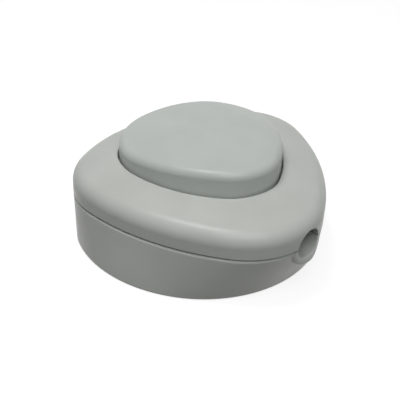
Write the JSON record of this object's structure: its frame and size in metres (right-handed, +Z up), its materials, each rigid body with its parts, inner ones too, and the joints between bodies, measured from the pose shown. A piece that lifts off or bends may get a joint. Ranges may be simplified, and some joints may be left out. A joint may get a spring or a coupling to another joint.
{
  "type": "foot switch",
  "caption": "Floor foot switch for a lamp cord: rounded-triangular two-part casing with a domed push button, a latch and contacts inside, and a cord inlet at each end.",
  "frame": {"origin": "on the floor, below the axis of the push button", "axes": "+Z up; +X along the cord, out of the inlet beside the casing's nose; +Y to the left of it"},
  "size_m": [0.0701, 0.0723, 0.0328],
  "materials": {
    "shell_plastic": "satin moulded plastic, pale grey-white",
    "button_plastic": "satin moulded plastic, pale grey-white",
    "inner_plastic": "dark moulded insulating plastic",
    "plunger_plastic": "natural moulded plastic",
    "spring_steel": "drawn spring wire",
    "screw_steel": "zinc-plated steel",
    "brass": "plain rolled brass",
    "contact_silver": "silver contact metal"
  },
  "bodies": {
    "case": {"base": "shell_plastic", "cover": "shell_plastic", "return_spring": "spring_steel", "switch_body": "inner_plastic", "latch_leaf": "spring_steel", "line_terminal": "brass", "load_terminal": "brass", "fixed_contacts": "contact_silver", "terminal_screws": "screw_steel", "neutral_block": "brass", "neutral_screws": "screw_steel", "body_screws": "screw_steel", "cord_clamp_in": "inner_plastic", "cord_clamp_out": "inner_plastic", "clamp_screws": "screw_steel", "case_screws": "screw_steel"},
    "button": {"push_button": "button_plastic", "plunger": "plunger_plastic", "contact_bridge": "brass", "bridge_contacts": "contact_silver", "contact_spring": "spring_steel"},
    "latch": {"latch_wire": "spring_steel"}
  },
  "joints": [
    {"name": "button_press", "type": "slide", "parent": "case", "child": "button", "axis": [0, 0, -1], "range_m": [0, 0.005], "stiffness_N_per_m": 410, "springref_m": -0.0146, "deforming": ["return_spring"]},
    {"name": "latch_swing", "type": "hinge", "parent": "case", "child": "latch", "pos_m": [0, 0.0054, 0.0126], "axis": [0, 1, 0], "range_deg": [0, 15.6]}
  ],
  "couplings": [
    {"joint": "latch_swing", "follows": "button_press", "rad_per_m": 54.105}
  ]
}
